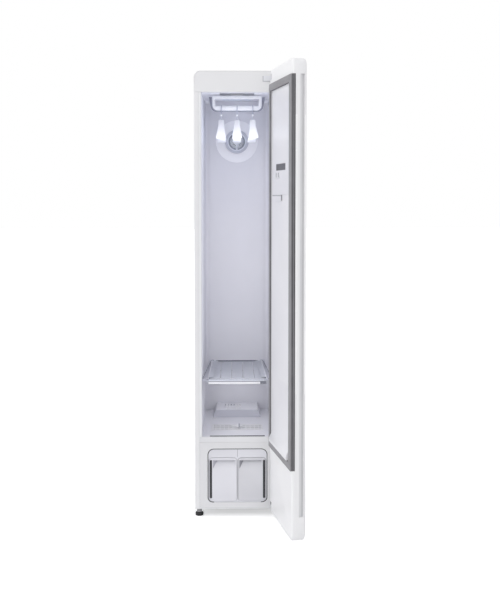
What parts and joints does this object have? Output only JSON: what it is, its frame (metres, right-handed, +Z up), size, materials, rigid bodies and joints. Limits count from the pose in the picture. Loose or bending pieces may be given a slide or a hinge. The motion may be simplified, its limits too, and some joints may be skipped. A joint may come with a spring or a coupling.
{
  "type": "clothes care steam cabinet",
  "caption": "Slim floor-standing clothes care steam cabinet with a full-height hinged door, moving hanger rail, hangers, shelf, lint filter and water tanks.",
  "frame": {"origin": "middle of the outline with the door open, at floor level under the feet", "axes": "+Z up, +Y towards the back of the cabinet, +X to the right seen from the front"},
  "size_m": [0.4316, 0.8894, 1.85],
  "materials": {
    "white_paint": "satin",
    "gloss_white": "gloss",
    "lining_white": "satin",
    "chamber_plastic": "satin",
    "tank_plastic": "satin",
    "hanger_plastic": "gloss",
    "frosted_plastic": "frosted",
    "dark_plastic": "satin",
    "black_rubber": "matte",
    "seal_rubber": "matte",
    "chrome_wire": "polished",
    "zinc_steel": "plated",
    "aluminium_fin": "bare",
    "black_enamel": "gloss",
    "front_glass": "backed white",
    "felt": "soft"
  },
  "bodies": {
    "cabinet": {"left_side_panel": "white_paint", "right_side_panel": "white_paint", "top_cap": "white_paint", "back_panel": "white_paint", "base_pan": "zinc_steel", "front_header": "white_paint", "sill_strip": "white_paint", "lower_front_panel": "white_paint", "left_inner_wall": "chamber_plastic", "right_inner_wall": "chamber_plastic", "rear_inner_wall": "chamber_plastic", "chamber_ceiling": "chamber_plastic", "lamp_cover": "frosted_plastic", "chamber_floor": "chamber_plastic", "steam_nozzle_step": "chamber_plastic", "outlet_bezel": "frosted_plastic", "circulation_fan_motor": "dark_plastic", "guide_rod": "zinc_steel", "rail_drive_motor": "dark_plastic", "left_shelf_ledge": "chamber_plastic", "right_shelf_ledge": "chamber_plastic", "tank_bay": "tank_plastic", "evaporator": "aluminium_fin", "condenser": "aluminium_fin", "compressor": "black_enamel", "steam_generator": "zinc_steel", "water_pump": "dark_plastic", "blower_housing": "dark_plastic", "control_box": "dark_plastic", "power_inlet": "dark_plastic", "upper_hinge_bracket": "white_paint", "lower_hinge_bracket": "white_paint"},
    "door": {"door_shell": "gloss_white", "door_glass": "front_glass", "door_lining": "lining_white", "door_seal": "seal_rubber", "press_pad": "felt", "trouser_hooks": "dark_plastic"},
    "press_cover": {"press_cover": "lining_white"},
    "hanger_rail": {"hanger_rail": "hanger_plastic", "rail_carriage": "dark_plastic"},
    "left_hanger": {"left_hanger": "hanger_plastic", "left_hanger_hook": "chrome_wire"},
    "middle_hanger": {"middle_hanger": "hanger_plastic", "middle_hanger_hook": "chrome_wire"},
    "right_hanger": {"right_hanger": "hanger_plastic", "right_hanger_hook": "chrome_wire"},
    "drive_crank": {"drive_crank": "zinc_steel"},
    "circulation_fan": {"circulation_fan": "dark_plastic"},
    "blower_wheel": {"blower_wheel": "frosted_plastic"},
    "shelf": {"shelf_rack": "chrome_wire"},
    "supply_tank": {"supply_tank": "tank_plastic", "supply_tank_lid": "frosted_plastic"},
    "drain_tank": {"drain_tank": "tank_plastic", "drain_tank_lid": "frosted_plastic"},
    "lint_filter": {"lint_filter": "frosted_plastic"},
    "front_left_foot": {"front_left_foot": "black_rubber"},
    "front_right_foot": {"front_right_foot": "black_rubber"},
    "rear_left_foot": {"rear_left_foot": "black_rubber"},
    "rear_right_foot": {"rear_right_foot": "black_rubber"}
  },
  "joints": [
    {"name": "door_hinge", "type": "hinge", "parent": "cabinet", "child": "door", "pos_m": [0.12319, -0.10659, 0.9], "axis": [0, 0, 1], "range_deg": [-101.3, 28.7]},
    {"name": "press_cover_hinge", "type": "hinge", "parent": "door", "child": "press_cover", "pos_m": [0.15619, -0.40389, 0.98], "axis": [0, 0, 1], "range_deg": [0, 75]},
    {"name": "hanger_rail_slide", "type": "slide", "parent": "cabinet", "child": "hanger_rail", "axis": [1, 0, 0], "range_m": [-0.012, 0.012]},
    {"name": "left_hanger_swing", "type": "hinge", "parent": "hanger_rail", "child": "left_hanger", "pos_m": [-0.1063, 0.14341, 1.716], "axis": [1, 0, 0], "range_deg": [-12, 12]},
    {"name": "middle_hanger_swing", "type": "hinge", "parent": "hanger_rail", "child": "middle_hanger", "pos_m": [-0.0383, 0.14341, 1.716], "axis": [1, 0, 0], "range_deg": [-12, 12]},
    {"name": "right_hanger_swing", "type": "hinge", "parent": "hanger_rail", "child": "right_hanger", "pos_m": [0.02969, 0.14341, 1.716], "axis": [1, 0, 0], "range_deg": [-12, 12]},
    {"name": "drive_crank_turn", "type": "hinge", "parent": "cabinet", "child": "drive_crank", "pos_m": [-0.0383, 0.2004, 1.8], "axis": [0, 0, 1], "continuous": true},
    {"name": "circulation_fan_spin", "type": "hinge", "parent": "cabinet", "child": "circulation_fan", "pos_m": [-0.0383, 0.41741, 1.59], "axis": [0, 1, 0], "continuous": true},
    {"name": "blower_wheel_spin", "type": "hinge", "parent": "cabinet", "child": "blower_wheel", "pos_m": [-0.12831, 0.40841, 0.215], "axis": [0, 1, 0], "continuous": true},
    {"name": "shelf_slide", "type": "slide", "parent": "cabinet", "child": "shelf", "axis": [0, -1, 0], "range_m": [0, 0.28]},
    {"name": "supply_tank_slide", "type": "slide", "parent": "cabinet", "child": "supply_tank", "axis": [0, -1, 0], "range_m": [0, 0.21]},
    {"name": "drain_tank_slide", "type": "slide", "parent": "cabinet", "child": "drain_tank", "axis": [0, -1, 0], "range_m": [0, 0.21]},
    {"name": "lint_filter_lift", "type": "slide", "parent": "cabinet", "child": "lint_filter", "axis": [0, 0, 1], "range_m": [0, 0.06]},
    {"name": "front_left_foot_turn", "type": "hinge", "parent": "cabinet", "child": "front_left_foot", "pos_m": [-0.19831, -0.0496, 0.02], "axis": [0, 0, 1], "continuous": true},
    {"name": "front_right_foot_turn", "type": "hinge", "parent": "cabinet", "child": "front_right_foot", "pos_m": [0.12169, -0.0196, 0.02], "axis": [0, 0, 1], "continuous": true},
    {"name": "rear_left_foot_turn", "type": "hinge", "parent": "cabinet", "child": "rear_left_foot", "pos_m": [-0.19831, 0.41341, 0.02], "axis": [0, 0, 1], "continuous": true},
    {"name": "rear_right_foot_turn", "type": "hinge", "parent": "cabinet", "child": "rear_right_foot", "pos_m": [0.12169, 0.41341, 0.02], "axis": [0, 0, 1], "continuous": true}
  ]
}
